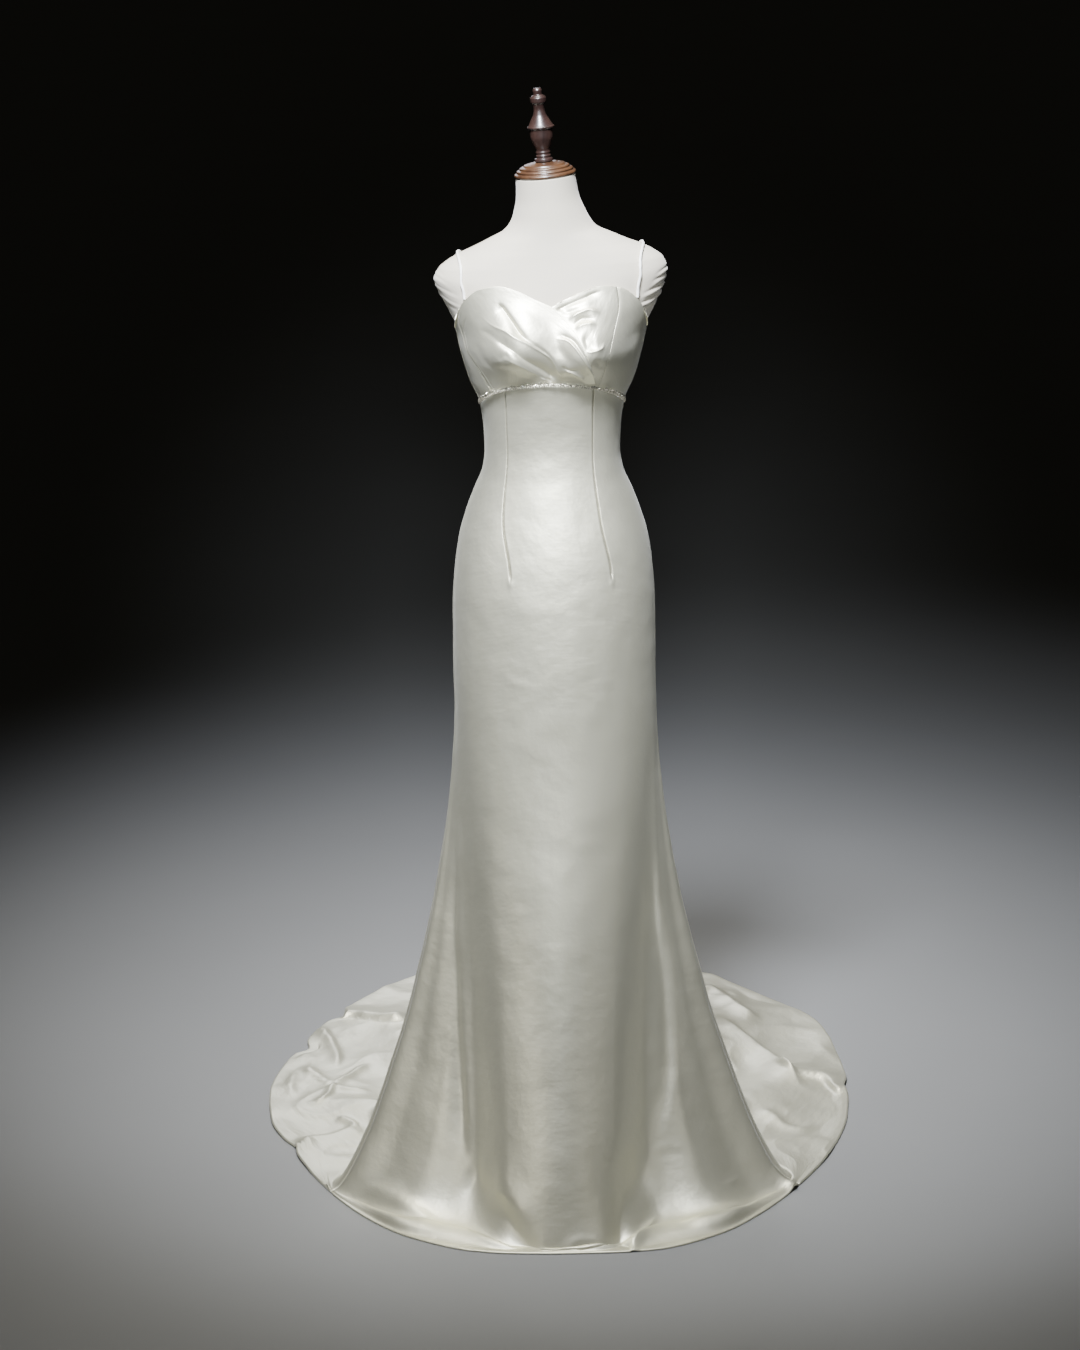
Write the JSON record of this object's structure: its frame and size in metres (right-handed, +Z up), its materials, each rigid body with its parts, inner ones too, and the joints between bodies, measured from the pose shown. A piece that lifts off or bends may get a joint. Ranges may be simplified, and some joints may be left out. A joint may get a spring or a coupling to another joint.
{
  "type": "satin gown on a limbless dress form with a stand",
  "caption": "Floor-length satin gown with a pleated crossed bodice, thin straps and a sweep train, worn by a limbless dress form with a turned wooden neck cap on a round stand.",
  "frame": {"origin": "centre of the stand base's underside, on the floor under the pole", "axes": "+Z up, -Y the way the gown faces, +X the wearer's left"},
  "size_m": [1.008, 1.3109, 1.7783],
  "materials": {
    "satin": "heavy ivory duchess satin with a soft sheen",
    "beads": "small clear and pearl beads sewn on a narrow strip",
    "nylon": "ivory coil zip",
    "zip_metal": "satin nickel",
    "jersey": "matt off-white jersey stretched over a hard shell",
    "wood": "dark brown varnish",
    "iron": "black satin enamel"
  },
  "bodies": {
    "gown_on_form": {"front_panel": "satin", "back_panel_left": "satin", "back_panel_right": "satin", "cup_right": "satin", "cup_left": "satin", "side_bust_right": "satin", "side_bust_left": "satin", "strap_right": "satin", "strap_left": "satin", "bead_band": "beads", "zip_chain": "nylon", "zip_slider": "zip_metal", "form_torso": "jersey", "neck_cap": "wood", "finial": "wood", "stand_pole": "iron", "stand_base": "iron"},
    "pull_tab": {"zip_pull_tab": "zip_metal"}
  },
  "joints": [
    {"name": "pull_tab_pin", "type": "hinge", "parent": "gown_on_form", "child": "pull_tab", "pos_m": [0, 0.1078, 1.3773], "axis": [1, 0, 0], "range_deg": [-10, 160]}
  ]
}
